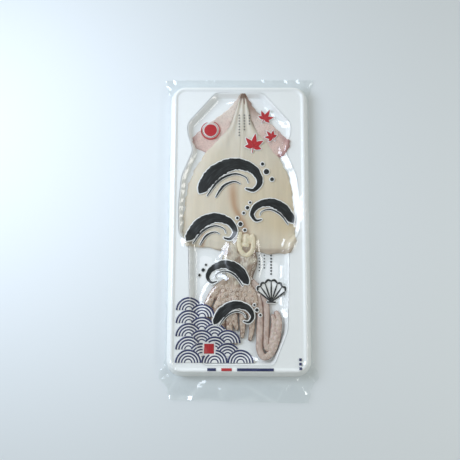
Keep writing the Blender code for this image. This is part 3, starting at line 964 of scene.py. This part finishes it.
# Creases of their own: from, to, half their width and their height
CREASES = (
    # Gathered film at the top right corner
    ((0.0580, 0.1965), (0.0650, 0.1845), 0.0040, 0.0024),
    ((0.0725, 0.1965), (0.0795, 0.1845), 0.0040, 0.0025),
    ((0.0775, 0.1810), (0.0830, 0.1680), 0.0034, 0.0022),
    ((0.0840, 0.1845), (0.0895, 0.1965), 0.0034, 0.0018),
    # Tucks along the top flap
    ((-0.0420, 0.1855), (-0.0370, 0.1965), 0.0034, 0.0017),
    ((-0.0325, 0.1855), (-0.0275, 0.1965), 0.0036, 0.0019),
    ((0.0300, 0.1965), (0.0360, 0.1855), 0.0036, 0.0020),
    ((0.0380, 0.1855), (0.0430, 0.1965), 0.0036, 0.0019),
    # Gathered film at the top left corner
    ((-0.090, 0.1900), (-0.078, 0.1780), 0.0032, 0.0018),
    ((-0.080, 0.1950), (-0.073, 0.1840), 0.0028, 0.0016),
    # Bottom left ear
    ((-0.092, -0.160), (-0.076, -0.150), 0.0034, 0.0022),
    ((-0.088, -0.170), (-0.070, -0.158), 0.0032, 0.0020),
    ((-0.080, -0.184), (-0.066, -0.162), 0.0036, 0.0018),
    # Bottom right ear
    ((0.092, -0.160), (0.076, -0.150), 0.0034, 0.0022),
    ((0.088, -0.172), (0.071, -0.157), 0.0032, 0.0020),
    ((0.078, -0.188), (0.060, -0.162), 0.0036, 0.0018),
    # Long wrinkles of the bottom flap
    ((-0.056, -0.193), (-0.032, -0.166), 0.0050, 0.0018),
    ((-0.014, -0.194), (-0.026, -0.165), 0.0044, 0.0016),
    ((0.004, -0.176), (0.036, -0.194), 0.0046, 0.0018),
    ((0.020, -0.166), (0.054, -0.180), 0.0040, 0.0018),
    ((0.046, -0.194), (0.060, -0.168), 0.0040, 0.0016),
    # Film gathered over the rim at the lower right
    ((0.044, -0.1640), (0.058, -0.1660), 0.0026, 0.0016),
    # Pleats of the right side, from the rim outwards
    ((0.079, 0.140), (0.087, 0.120), 0.0022, 0.0010),
    ((0.079, 0.096), (0.087, 0.104), 0.0020, 0.0009),
    ((0.079, 0.062), (0.087, 0.046), 0.0022, 0.0011),
    ((0.079, 0.012), (0.087, 0.022), 0.0022, 0.0010),
    ((0.079, -0.028), (0.087, -0.044), 0.0022, 0.0010),
    ((0.079, -0.090), (0.087, -0.076), 0.0022, 0.0011),
    ((0.079, -0.122), (0.087, -0.136), 0.0022, 0.0010),
    # Faint lines on the lower right of the deck
    ((0.056, -0.086), (0.078, -0.112), 0.0016, 0.00030),
    ((0.050, -0.070), (0.076, -0.062), 0.0016, 0.00020),
    ((0.046, -0.116), (0.068, -0.104), 0.0020, 0.00035),
    ((0.050, -0.150), (0.070, -0.146), 0.0018, 0.00040),
)


def crease_height(x, y):
    """The height that the single creases add at a point."""
    height = 0.0
    for (x0, y0), (x1, y1), reach, rise in CREASES:
        run_x, run_y = x1 - x0, y1 - y0
        share = ((x - x0) * run_x + (y - y0) * run_y) / (run_x**2 + run_y**2)
        if share < -0.1 or share > 1.1:
            continue
        away = abs((x - x0) * run_y - (y - y0) * run_x) / math.hypot(run_x, run_y)
        ends = fade(share, -0.1, 0.15) * (1 - fade(share, 0.85, 1.1))
        height += rise * ends * max(0.0, 1 - away / reach)
    return height


columns = np.linspace(-1, 1, FILM_COLUMNS + 1)
columns = columns * (1 + SIDE_CROWDING * (1 - columns**2))
rows = np.linspace(-1, 1, FILM_ROWS + 1)
film_x = np.zeros((FILM_ROWS + 1, FILM_COLUMNS + 1))
film_y = np.zeros_like(film_x)
for row, v in enumerate(rows):
    y = v * BAG_LENGTH / 2
    for column, u in enumerate(columns):
        skew = BOTTOM_FLAP_SKEW * (0.5 + 0.5 * math.sin(math.pi / 2 * u)) if v < 0 else 0
        film_x[row, column] = u * bag_half_width(y)
        film_y[row, column] = y + (BOTTOM_FLAP_SKEW - skew) * fade(-y, -tray_low_y, BAG_LENGTH / 2)

squid_tree = surface_tree([mantle, fins, head_and_arms, funnel, suckers, *tentacles])
resting = np.full_like(film_x, FILM_ON_TABLE)
pull = np.full_like(film_x, PULL_ON_FLAPS)
for index in np.ndindex(film_x.shape):
    for found_tree, strength, clearance in (
        (tray_tree, PULL_IN_RECESS, CLEAR_OF_TRAY),
        (squid_tree, PULL_BY_SQUID, CLEAR_OF_SQUID),
    ):
        hit = drop_onto(found_tree, film_x[index], film_y[index])[0]
        if hit is not None:
            resting[index] = max(resting[index], hit.z + clearance)
            pull[index] = strength
over_table = pull == PULL_ON_FLAPS
over_squid = pull == PULL_BY_SQUID
for _ in range(BRIDGED_CELLS):
    along = np.minimum(np.roll(pull, 1, axis=0), np.roll(pull, -1, axis=0))
    across = np.minimum(np.roll(pull, 1, axis=1), np.roll(pull, -1, axis=1))
    pull = np.minimum(pull, np.minimum(along, across))
pull[over_table] = PULL_ON_FLAPS


def widened(heights):
    """The highest of each point and its eight neighbours."""
    highest_near = heights.copy()
    for row_shift in (-1, 0, 1):
        for column_shift in (-1, 0, 1):
            shifted = np.roll(heights, (row_shift, column_shift), axis=(0, 1))
            highest_near[1:-1, 1:-1] = np.maximum(highest_near[1:-1, 1:-1], shifted[1:-1, 1:-1])
    return highest_near


def averaged(heights):
    """The mean of the four neighbours of each point inside the border."""
    along = heights[:-2, 1:-1] + heights[2:, 1:-1]
    across = heights[1:-1, :-2] + heights[1:-1, 2:]
    return (along + across) / 4


highest = widened(resting)
film_z = np.maximum(highest, deck_height)
film_z[:, 0] = film_z[:, -1] = SIDE_SEAM_HEIGHT
film_z[0, :] = film_z[-1, :] = FLAP_END_HEIGHT
for _ in range(SETTLING_STEPS):
    film_z[1:-1, 1:-1] = np.maximum(highest[1:-1, 1:-1], averaged(film_z) - pull[1:-1, 1:-1])
# The film is too stiff to follow pits of a few millimetres in the squid
cushion = np.where(over_squid, widened(highest), highest)
for _ in range(CUSHION_STEPS):
    cushion[1:-1, 1:-1] = averaged(cushion)
cushion = np.maximum(cushion, resting)
# The steps that the cells leave where the film touches what it holds are smoothed out
for _ in range(SMOOTHING_STEPS):
    film_z[1:-1, 1:-1] = np.maximum(cushion[1:-1, 1:-1], averaged(film_z))

film_bottom = np.zeros_like(film_z)
for index in np.ndindex(film_x.shape):
    x, y = film_x[index], film_y[index]
    crumple = 0.0
    for number, (height, spacing, turn) in enumerate(FOLD_SETS, start=1):
        crumple += height * folds(x, y, spacing, turn, number)
    crumple *= 1 - (1 - TOP_CRUMPLE) * fade(y, 0.1, tray_high_y)
    over_rim = fade(beyond_tray(x, y, TRAY_FLARE), 0.0, 0.009)
    crumple *= TRAY_CRUMPLE + (1 - TRAY_CRUMPLE) * over_rim
    film_z[index] += crumple + crease_height(x, y)
    sloped = BACK_SHEET_HEIGHT + BACK_SHEET_SLOPE * beyond_tray(x, y, 0.0)
    film_bottom[index] = max(BACK_SHEET_HEIGHT, min(film_z[index] - SHEETS_APART, sloped))

film_mesh = bmesh.new()
bmesh.ops.create_grid(film_mesh, x_segments=FILM_COLUMNS, y_segments=FILM_ROWS, size=1.0)
cell_of = film_mesh.verts.layers.int.new("film_cell")
for vertex in film_mesh.verts:
    row = round((vertex.co.y + 1) / 2 * FILM_ROWS)
    column = round((vertex.co.x + 1) / 2 * FILM_COLUMNS)
    vertex[cell_of] = row * (FILM_COLUMNS + 1) + column
    vertex.co = (film_x[row, column], film_y[row, column], film_z[row, column])
film_tree = BVHTree.FromBMesh(film_mesh)
for vertex in lower_sheet(film_mesh):
    vertex.co.z = film_bottom.flat[vertex[cell_of]]
film_mesh.verts.layers.int.remove(cell_of)
bmesh.ops.recalc_face_normals(film_mesh, faces=film_mesh.faces)

# Clear nylon and polyethylene film: glossy, almost without colour, with fine stretch marks
clear_film = bpy.data.materials.new("clear_nylon_film")
clear_film.use_nodes = True
tree = clear_film.node_tree
tree.nodes.clear()
place = add_node(tree, "ShaderNodeTexCoord")
# Stretch marks about 3 mm apart
marks = add_node(
    tree, "ShaderNodeTexNoise", {"Vector": place.outputs["Object"], "Scale": 300, "Detail": 3}
)
relief = add_node(
    tree, "ShaderNodeBump", {"Height": marks.outputs["Fac"], "Strength": 0.08, "Distance": 0.0004}
)
clear = add_node(tree, "ShaderNodeBsdfTransparent", {"Color": linear("FEFFFF")})
gloss = add_node(
    tree,
    "ShaderNodeBsdfGlossy",
    {"Color": linear("FFFFFF"), "Roughness": 0.10, "Normal": relief.outputs["Normal"]},
)
# The film's two faces together reflect 8 parts in 100 seen square on, and more at a low
# angle, alike from above and from below
facing = add_node(tree, "ShaderNodeLayerWeight", {"Blend": 0.5})
steepness = add_node(
    tree, "ShaderNodeMath", {0: facing.outputs["Facing"], 1: 5.0}, operation="POWER"
)
mirror_share = add_node(
    tree, "ShaderNodeMapRange", {"Value": steepness.outputs["Value"], 1: 0, 2: 1, 3: 0.08, 4: 0.90}
)
mixed = add_node(
    tree,
    "ShaderNodeMixShader",
    {0: mirror_share.outputs["Result"], 1: clear.outputs["BSDF"], 2: gloss.outputs["BSDF"]},
)
add_node(tree, "ShaderNodeOutputMaterial", {"Surface": mixed.outputs["Shader"]})

film = add_piece("film_bag", film_mesh, clear_film, sharp_above=50)
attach(film, "root")
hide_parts("bag")

# Print
# Gravure inks on the film: breaking waves in black brush strokes with white margins, red
# leaves, a shell, rows of navy wave scales, dots and bars. Ink bends with the film.
PATTERN_WHITE_LIFT = 0.00010
NAVY_LIFT = 0.00028
MARGIN_LIFT = 0.00040
INK_LIFT = 0.00058
INK_THICKNESS = 0.00002
WHITE_MARGIN = 0.0011
FINE_MARGIN = 0.0008
PRINT_STEP = 0.0009


def film_height(x, y):
    """The height of the film's upper sheet."""
    return drop_onto(film_tree, x, y)[0].z


def add_stroke(mesh_data, route, widths, lift, margin=0.0, ragged=0.0, square=False):
    """A brush stroke on the film: a ribbon along route, with half widths as shares go."""
    points = smooth_route([Vector((x, y, 0)) for x, y in route], PRINT_STEP)
    start_way = (points[0] - points[1]).normalized()
    end_way = (points[-1] - points[-2]).normalized()
    if margin > 0:
        points = [points[0] + start_way * margin, *points, points[-1] + end_way * margin]
    ways = directions(points)
    lengths = [0.0]
    for index in range(1, len(points)):
        lengths.append(lengths[-1] + (points[index] - points[index - 1]).length)
    across = max(2, round(2 * (max(width for _, width in widths) + margin) / PRINT_STEP))
    grain_layer = mesh_data.loops.layers.uv.verify()
    grain = {}
    last = len(points) - 1
    made = bmesh.ops.create_grid(mesh_data, x_segments=last, y_segments=across, size=1.0)
    for vertex in made["verts"]:
        index = round((vertex.co.x + 1) / 2 * last)
        v = vertex.co.y
        share = lengths[index] / lengths[-1]
        half = smooth_through(widths, share) + margin
        edge_noise = unevenness((points[index].x, points[index].y, 3 * v), 0.0035)
        half *= 1 + ragged * edge_noise
        if not square:
            near_end = min(lengths[index], lengths[-1] - lengths[index]) / half
            half *= math.sqrt(max(0.02, 1 - (1 - min(1.0, near_end)) ** 2))
        side = Vector((-ways[index].y, ways[index].x, 0))
        place = points[index] + side * half * v
        vertex.co = (place.x, place.y, film_height(place.x, place.y) + lift)
        grain[vertex] = (lengths[index], half * v)
    for vertex, along_and_across in grain.items():
        for loop in vertex.link_loops:
            loop[grain_layer].uv = along_and_across


def straight(start, end):
    """A straight route."""
    return start, ((start[0] + end[0]) / 2, (start[1] + end[1]) / 2), end


def even(half_width):
    """The widths of a stroke that is as wide all along."""
    return (0, half_width), (1, half_width)


def disc(x, y, radius):
    """A stroke's route and widths that make a full disc."""
    return ((x - radius, y), (x, y), (x + radius, y)), even(radius)


def arc(x, y, radius, start, end):
    """A route along part of a circle, with its angles in degrees."""
    count = max(4, round(abs(end - start) / 20))
    turns = [math.radians(start + (end - start) * n / count) for n in range(count + 1)]
    return tuple((x + radius * math.cos(turn), y + radius * math.sin(turn)) for turn in turns)


def ink_finish(name, colour, thin_colour):
    """Gravure ink with the film's gloss: even, but thinner in streaks along each stroke."""
    finish, tree, shader = new_finish(name, {"Roughness": 0.30, "IOR": 1.55})
    grain = add_node(tree, "ShaderNodeUVMap")
    # Streaks about 1.5 mm wide and 15 mm long, as a dry brush leaves them
    stretch = add_node(
        tree, "ShaderNodeMapping", {"Vector": grain.outputs["UV"], "Scale": (70, 700, 1)}
    )
    streaks = add_node(
        tree, "ShaderNodeTexNoise", {"Vector": stretch.outputs["Vector"], "Scale": 1, "Detail": 3}
    )
    thin_share = add_node(
        tree, "ShaderNodeMapRange", {"Value": streaks.outputs["Fac"], 1: 0.48, 2: 0.75, 3: 0, 4: 1}
    )
    inked = add_node(
        tree,
        "ShaderNodeMix",
        {0: thin_share.outputs["Result"], 6: linear(colour), 7: linear(thin_colour)},
        data_type="RGBA",
    )
    relief = add_node(
        tree, "ShaderNodeBump", {"Height": streaks.outputs["Fac"], "Strength": 0.2, "Distance": 0.0003}
    )
    set_inputs(tree, shader, {"Base Color": inked.outputs[2], "Normal": relief.outputs["Normal"]})
    return finish


white_ink = bmesh.new()
black_ink = bmesh.new()
red_ink = bmesh.new()
navy_ink = bmesh.new()
grey_ink = bmesh.new()


def add_margined(mesh_data, route, widths, margin, ragged=0.0):
    """A stroke of ink over a white one that stands out past it all round."""
    add_stroke(white_ink, route, widths, MARGIN_LIFT, margin=margin, ragged=0.5 * ragged)
    add_stroke(mesh_data, route, widths, INK_LIFT, ragged=ragged)


def sized(route, widths, x, y, size, flip=1):
    """A motif's route and widths at a size, moved to (x, y) and mirrored where flip is -1."""
    route = tuple((x + flip * size * across, y + size * up) for across, up in route)
    return route, tuple((share, size * width) for share, width in widths)


# Breaking waves in black brush strokes. A wave of size 1: its crest, two lines of water
# under it, and its drops of spray as middles and radii.
CREST = (
    (-1, -0.35), (-0.62, 0.18), (-0.12, 0.42), (0.35, 0.30),
    (0.55, -0.02), (0.40, -0.26), (0.18, -0.22),
)
CREST_WIDTHS = ((0, 0.02), (0.06, 0.13), (0.25, 0.185), (0.55, 0.135), (0.8, 0.075), (1, 0.02))
WATER_LINES = (
    ((-0.80, -0.42), (-0.50, -0.02), (-0.12, 0.16), (0.18, 0.08), (0.26, -0.08)),
    ((-0.58, -0.46), (-0.38, -0.16), (-0.12, -0.04), (0.06, -0.10)),
)
WATER_WIDTHS = ((0, 0.012), (0.4, 0.030), (1, 0.008))
SPRAY = ((0.72, 0.22, 0.070), (0.86, 0.02, 0.050), (0.62, 0.42, 0.045))
# Each wave's middle, size and the side that it breaks to
WAVES = (
    (-0.0010, 0.0660, 0.047, 1),
    (0.0330, 0.0250, 0.032, -1),
    (-0.0250, 0.0040, 0.037, 1),
    (-0.0200, -0.0490, 0.031, -1),
    (0.0000, -0.0960, 0.029, 1),
)
for x, y, size, flip in WAVES:
    add_margined(black_ink, *sized(CREST, CREST_WIDTHS, x, y, size, flip), WHITE_MARGIN, 0.16)
    # A small wave has room for one line of water
    for line in WATER_LINES[: 2 if size > 0.032 else 1]:
        add_margined(black_ink, *sized(line, WATER_WIDTHS, x, y, size, flip), 0.7 * WHITE_MARGIN, 0.2)
    for across, up, radius in SPRAY:
        drop = disc(x + flip * size * across, y + size * up, size * radius)
        add_margined(black_ink, *drop, WHITE_MARGIN, 0.2)

# Red maple leaves that drift down at the top right: middle, size and turn in degrees
LEAVES = (
    (0.0310, 0.1440, 0.0115, 60),
    (0.0400, 0.1200, 0.0095, 130),
    (0.0170, 0.1080, 0.0145, 80),
)
LEAF_LOBES = ((-100, 0.72), (-50, 0.98), (0, 1.12), (50, 0.98), (100, 0.72))
LOBE_WIDTHS = ((0, 0.10), (0.42, 0.21), (1, 0.012))
STEM_WIDTHS = ((0, 0.05), (1, 0.03))
for x, y, size, turn in LEAVES:
    for angle, length in (*LEAF_LOBES, (180, 0.60)):
        way = math.radians(turn + angle)
        reaches = (0, length / 2, length)
        route = tuple((reach * math.cos(way), reach * math.sin(way)) for reach in reaches)
        widths = LOBE_WIDTHS if angle < 180 else STEM_WIDTHS
        add_margined(red_ink, *sized(route, widths, x, y, size), FINE_MARGIN)

# A red disc in a thin open ring at the top left
DISC_MIDDLE = (-0.0350, 0.1290)
DISC_RADIUS = 0.0078
RING_RADIUS = 0.0112
RING_WIDTHS = ((0, 0.0004), (0.5, 0.0009), (1, 0.0004))
add_margined(red_ink, *disc(*DISC_MIDDLE, DISC_RADIUS), FINE_MARGIN, 0.05)
add_stroke(red_ink, arc(*DISC_MIDDLE, RING_RADIUS, 110, 430), RING_WIDTHS, INK_LIFT)

# Columns of small grey dots: across, from, to and radius
DOT_PITCH = 0.0036
for x, high, low, radius in (
    (0.0000, 0.147, 0.118, 0.0009),
    (0.0062, 0.147, 0.125, 0.0009),
    (0.0124, 0.147, 0.130, 0.0009),
    (0.0240, -0.0250, -0.048, 0.0009),
    (0.0300, -0.0250, -0.044, 0.0009),
    (0.0380, -0.0250, -0.052, 0.0012),
):
    for number in range(int((high - low) / DOT_PITCH)):
        add_stroke(grey_ink, *disc(x, high - number * DOT_PITCH, radius), INK_LIFT)

# A scallop shell beside the arms: a white fan, ribs from its hinge, and a scalloped edge
SHELL_HINGE = (0.0380, -0.0800)
SHELL_LENGTH = 0.0250
SHELL_WIDTHS = ((0, 0.0022), (0.30, 0.0085), (0.62, 0.0165), (0.80, 0.0150), (1, 0.0020))
SHELL_SCALLOP = 0.0024
RIB_WIDTHS = ((0, 0.0004), (0.6, 0.0009), (1, 0.0004))
EDGE_WIDTHS = ((0, 0.0009), (0.5, 0.0013), (1, 0.0009))
HINGE_HALF = 0.0055
RIB_TURNS = (38, 55, 72, 90, 108, 125, 142)
hinge = Vector(SHELL_HINGE)
rib_ends = []
for turn in RIB_TURNS:
    reach = SHELL_LENGTH * (1 - 0.18 * abs(turn - 90) / 52)
    way = Vector((math.cos(math.radians(turn)), math.sin(math.radians(turn))))
    rib_ends.append(hinge + reach * way)
fan = (SHELL_HINGE, (hinge.x, hinge.y + 0.5 * SHELL_LENGTH), rib_ends[3])
add_stroke(white_ink, fan, SHELL_WIDTHS, PATTERN_WHITE_LIFT, margin=FINE_MARGIN)
for end in rib_ends:
    add_stroke(black_ink, straight(hinge, end), RIB_WIDTHS, INK_LIFT, ragged=0.15)
for start, end in zip(rib_ends, rib_ends[1:]):
    middle = (start + end) / 2
    crown = middle + SHELL_SCALLOP * (middle - hinge).normalized()
    add_margined(black_ink, (start, crown, end), EDGE_WIDTHS, FINE_MARGIN, 0.1)
hinge_bar = straight((hinge.x - HINGE_HALF, hinge.y), (hinge.x + HINGE_HALF, hinge.y))
add_margined(black_ink, hinge_bar, even(0.0010), FINE_MARGIN, 0.1)

# Navy wave scales at the lower left: each is a white half disc with arcs, and hides what
# lies behind it in the row above. They stop short of the seal.
SCALE_RADIUS = 0.0150
SCALE_WIDTHS = (
    (0, SCALE_RADIUS), (0.5, 0.87 * SCALE_RADIUS), (0.8, 0.6 * SCALE_RADIUS), (1, 0.0008),
)
SCALE_ROWS = (
    (-0.0900, (-0.058,)),
    (-0.0975, (-0.043,)),
    (-0.1050, (-0.058,)),
    (-0.1125, (-0.043,)),
    (-0.1200, (-0.058, -0.028)),
    (-0.1275, (-0.043, -0.013)),
    (-0.1350, (-0.058, -0.028)),
    (-0.1425, (-0.043, -0.013)),
    (-0.1500, (-0.058, -0.028, 0.002)),
)
SCALE_LINES = ((0.94, 0.0010), (0.72, 0.0009), (0.50, 0.0008), (0.28, 0.0007))
SEAL_X = -0.0345
SEAL_Y = -0.1340
SEAL_HALF = 0.0056


def scale_line_shows(x, y, row_y):
    """Whether a point of the row at row_y is clear of the rows below and of the seal."""
    if max(abs(x - SEAL_X), abs(y - SEAL_Y)) < SEAL_HALF + 0.0015:
        return False
    for lower_y, places in SCALE_ROWS:
        for lower_x in places:
            if lower_y < row_y and math.hypot(x - lower_x, y - lower_y) < SCALE_RADIUS:
                return False
    return True


for row_y, places in SCALE_ROWS:
    for x in places:
        half_disc = straight((x, row_y), (x, row_y + SCALE_RADIUS))
        add_stroke(white_ink, half_disc, SCALE_WIDTHS, PATTERN_WHITE_LIFT, square=True)
        for share, half in SCALE_LINES:
            line = []
            for turn in range(0, 181, 5):
                way = Vector((math.cos(math.radians(turn)), math.sin(math.radians(turn))))
                place = Vector((x, row_y)) + share * SCALE_RADIUS * way
                if scale_line_shows(place.x, place.y, row_y):
                    line.append(tuple(place))
                if line and (turn == 180 or tuple(place) != line[-1]):
                    if len(line) > 2:
                        add_stroke(navy_ink, line, even(half), NAVY_LIFT, square=True)
                    line = []

# A red seal, and small bars and squares along the bottom
seal = straight((SEAL_X, SEAL_Y + SEAL_HALF), (SEAL_X, SEAL_Y - SEAL_HALF))
add_stroke(red_ink, seal, even(SEAL_HALF), INK_LIFT, ragged=0.03, square=True)
BARS_Y = -0.1575
for x0, x1, ink in (
    (-0.036, -0.026, navy_ink),
    (-0.020, -0.008, red_ink),
    (-0.002, 0.040, navy_ink),
):
    add_stroke(ink, straight((x0, BARS_Y), (x1, BARS_Y)), even(0.0016), INK_LIFT, square=True)
for y in (-0.146, -0.151, -0.156):
    add_stroke(navy_ink, straight((0.069, y), (0.072, y)), even(0.0015), INK_LIFT, square=True)

# Inks: white and black cover well, and the colours are spot inks
for name, mesh_data, colour, thin_colour in (
    ("print_white", white_ink, "E8EAE8", "DEE0DE"),
    ("print_black", black_ink, "15181A", "3B4143"),
    ("print_red", red_ink, "B2242C", "BE4248"),
    ("print_navy", navy_ink, "222A54", "3E4674"),
    ("print_grey", grey_ink, "44484A", "5C6062"),
):
    bmesh.ops.recalc_face_normals(mesh_data, faces=mesh_data.faces)
    finish = ink_finish(name.replace("print", "gravure_ink"), colour, thin_colour)
    ink = add_piece(name, mesh_data, finish)
    layer = ink.modifiers.new("ink_thickness", "SOLIDIFY")
    layer.thickness = INK_THICKNESS
    layer.offset = -1
    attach(ink, "root")

# Floor, light and camera
# A plain pale table, a soft cool light on the left, a long weak lamp on the right and a
# bright room.
floor_mesh = bmesh.new()
bmesh.ops.create_grid(floor_mesh, x_segments=1, y_segments=1, size=3.0)
table_paint = new_finish("pale_table_paint", {"Base Color": linear("E0E6E9"), "Roughness": 0.7})[0]
floor = add_piece("floor", floor_mesh, table_paint)

room = bpy.data.worlds.new("bright_room")
room.use_nodes = True
tree = room.node_tree
# The room's pale walls are brighter than its ceiling, most of all at the far left, where its
# windows are
way = add_node(tree, "ShaderNodeTexCoord")
to_windows = add_node(
    tree,
    "ShaderNodeVectorMath",
    {0: way.outputs["Generated"], 1: (-0.35, 0.55, -0.75)},
    operation="DOT_PRODUCT",
)
brightness = add_node(
    tree,
    "ShaderNodeMapRange",
    {"Value": to_windows.outputs["Value"], 1: -0.75, 2: 0.65, 3: 0.34, 4: 1.03},
)
set_inputs(
    tree,
    tree.nodes["Background"],
    {"Color": linear("FCFFFA"), "Strength": brightness.outputs["Result"]},
)
bpy.context.scene.world = room


def add_light(name, place, width, length, power, colour):
    """A rectangular soft light at a place, turned to the pack, with its power in watts."""
    data = bpy.data.lights.new(name, "AREA")
    data.shape = "RECTANGLE"
    data.size = width
    data.size_y = length
    data.energy = power
    data.color = linear(colour)[:3]
    light = bpy.data.objects.new(name, data)
    light.location = place
    light.rotation_euler = (LIT_PLACE - Vector(place)).to_track_quat("-Z", "Y").to_euler()
    bpy.context.scene.collection.objects.link(light)


LIT_PLACE = Vector((0.0, 0.03, 0.0))
add_light("window_light", (-0.42, 0.15, 0.42), width=0.34, length=0.34, power=2.50, colour="E2EDFF")
add_light("lamp_tube", (0.62, -0.12, 0.50), width=0.66, length=0.10, power=1.00, colour="FFFEFA")

camera_data = bpy.data.cameras.new("camera")
camera_data.lens = 55
camera_data.sensor_width = 36
camera = bpy.data.objects.new("camera", camera_data)
camera.matrix_world = (
    Matrix.Translation((-0.0017, -0.1386, 0.8306))
    @ Matrix.Rotation(math.radians(9.916), 4, "X")
    @ Matrix.Rotation(math.radians(0.621), 4, "Y")
    @ Matrix.Rotation(math.radians(0.137), 4, "Z")
)
bpy.context.scene.collection.objects.link(camera)
bpy.context.scene.camera = camera
bpy.context.scene.view_settings.view_transform = "Standard"
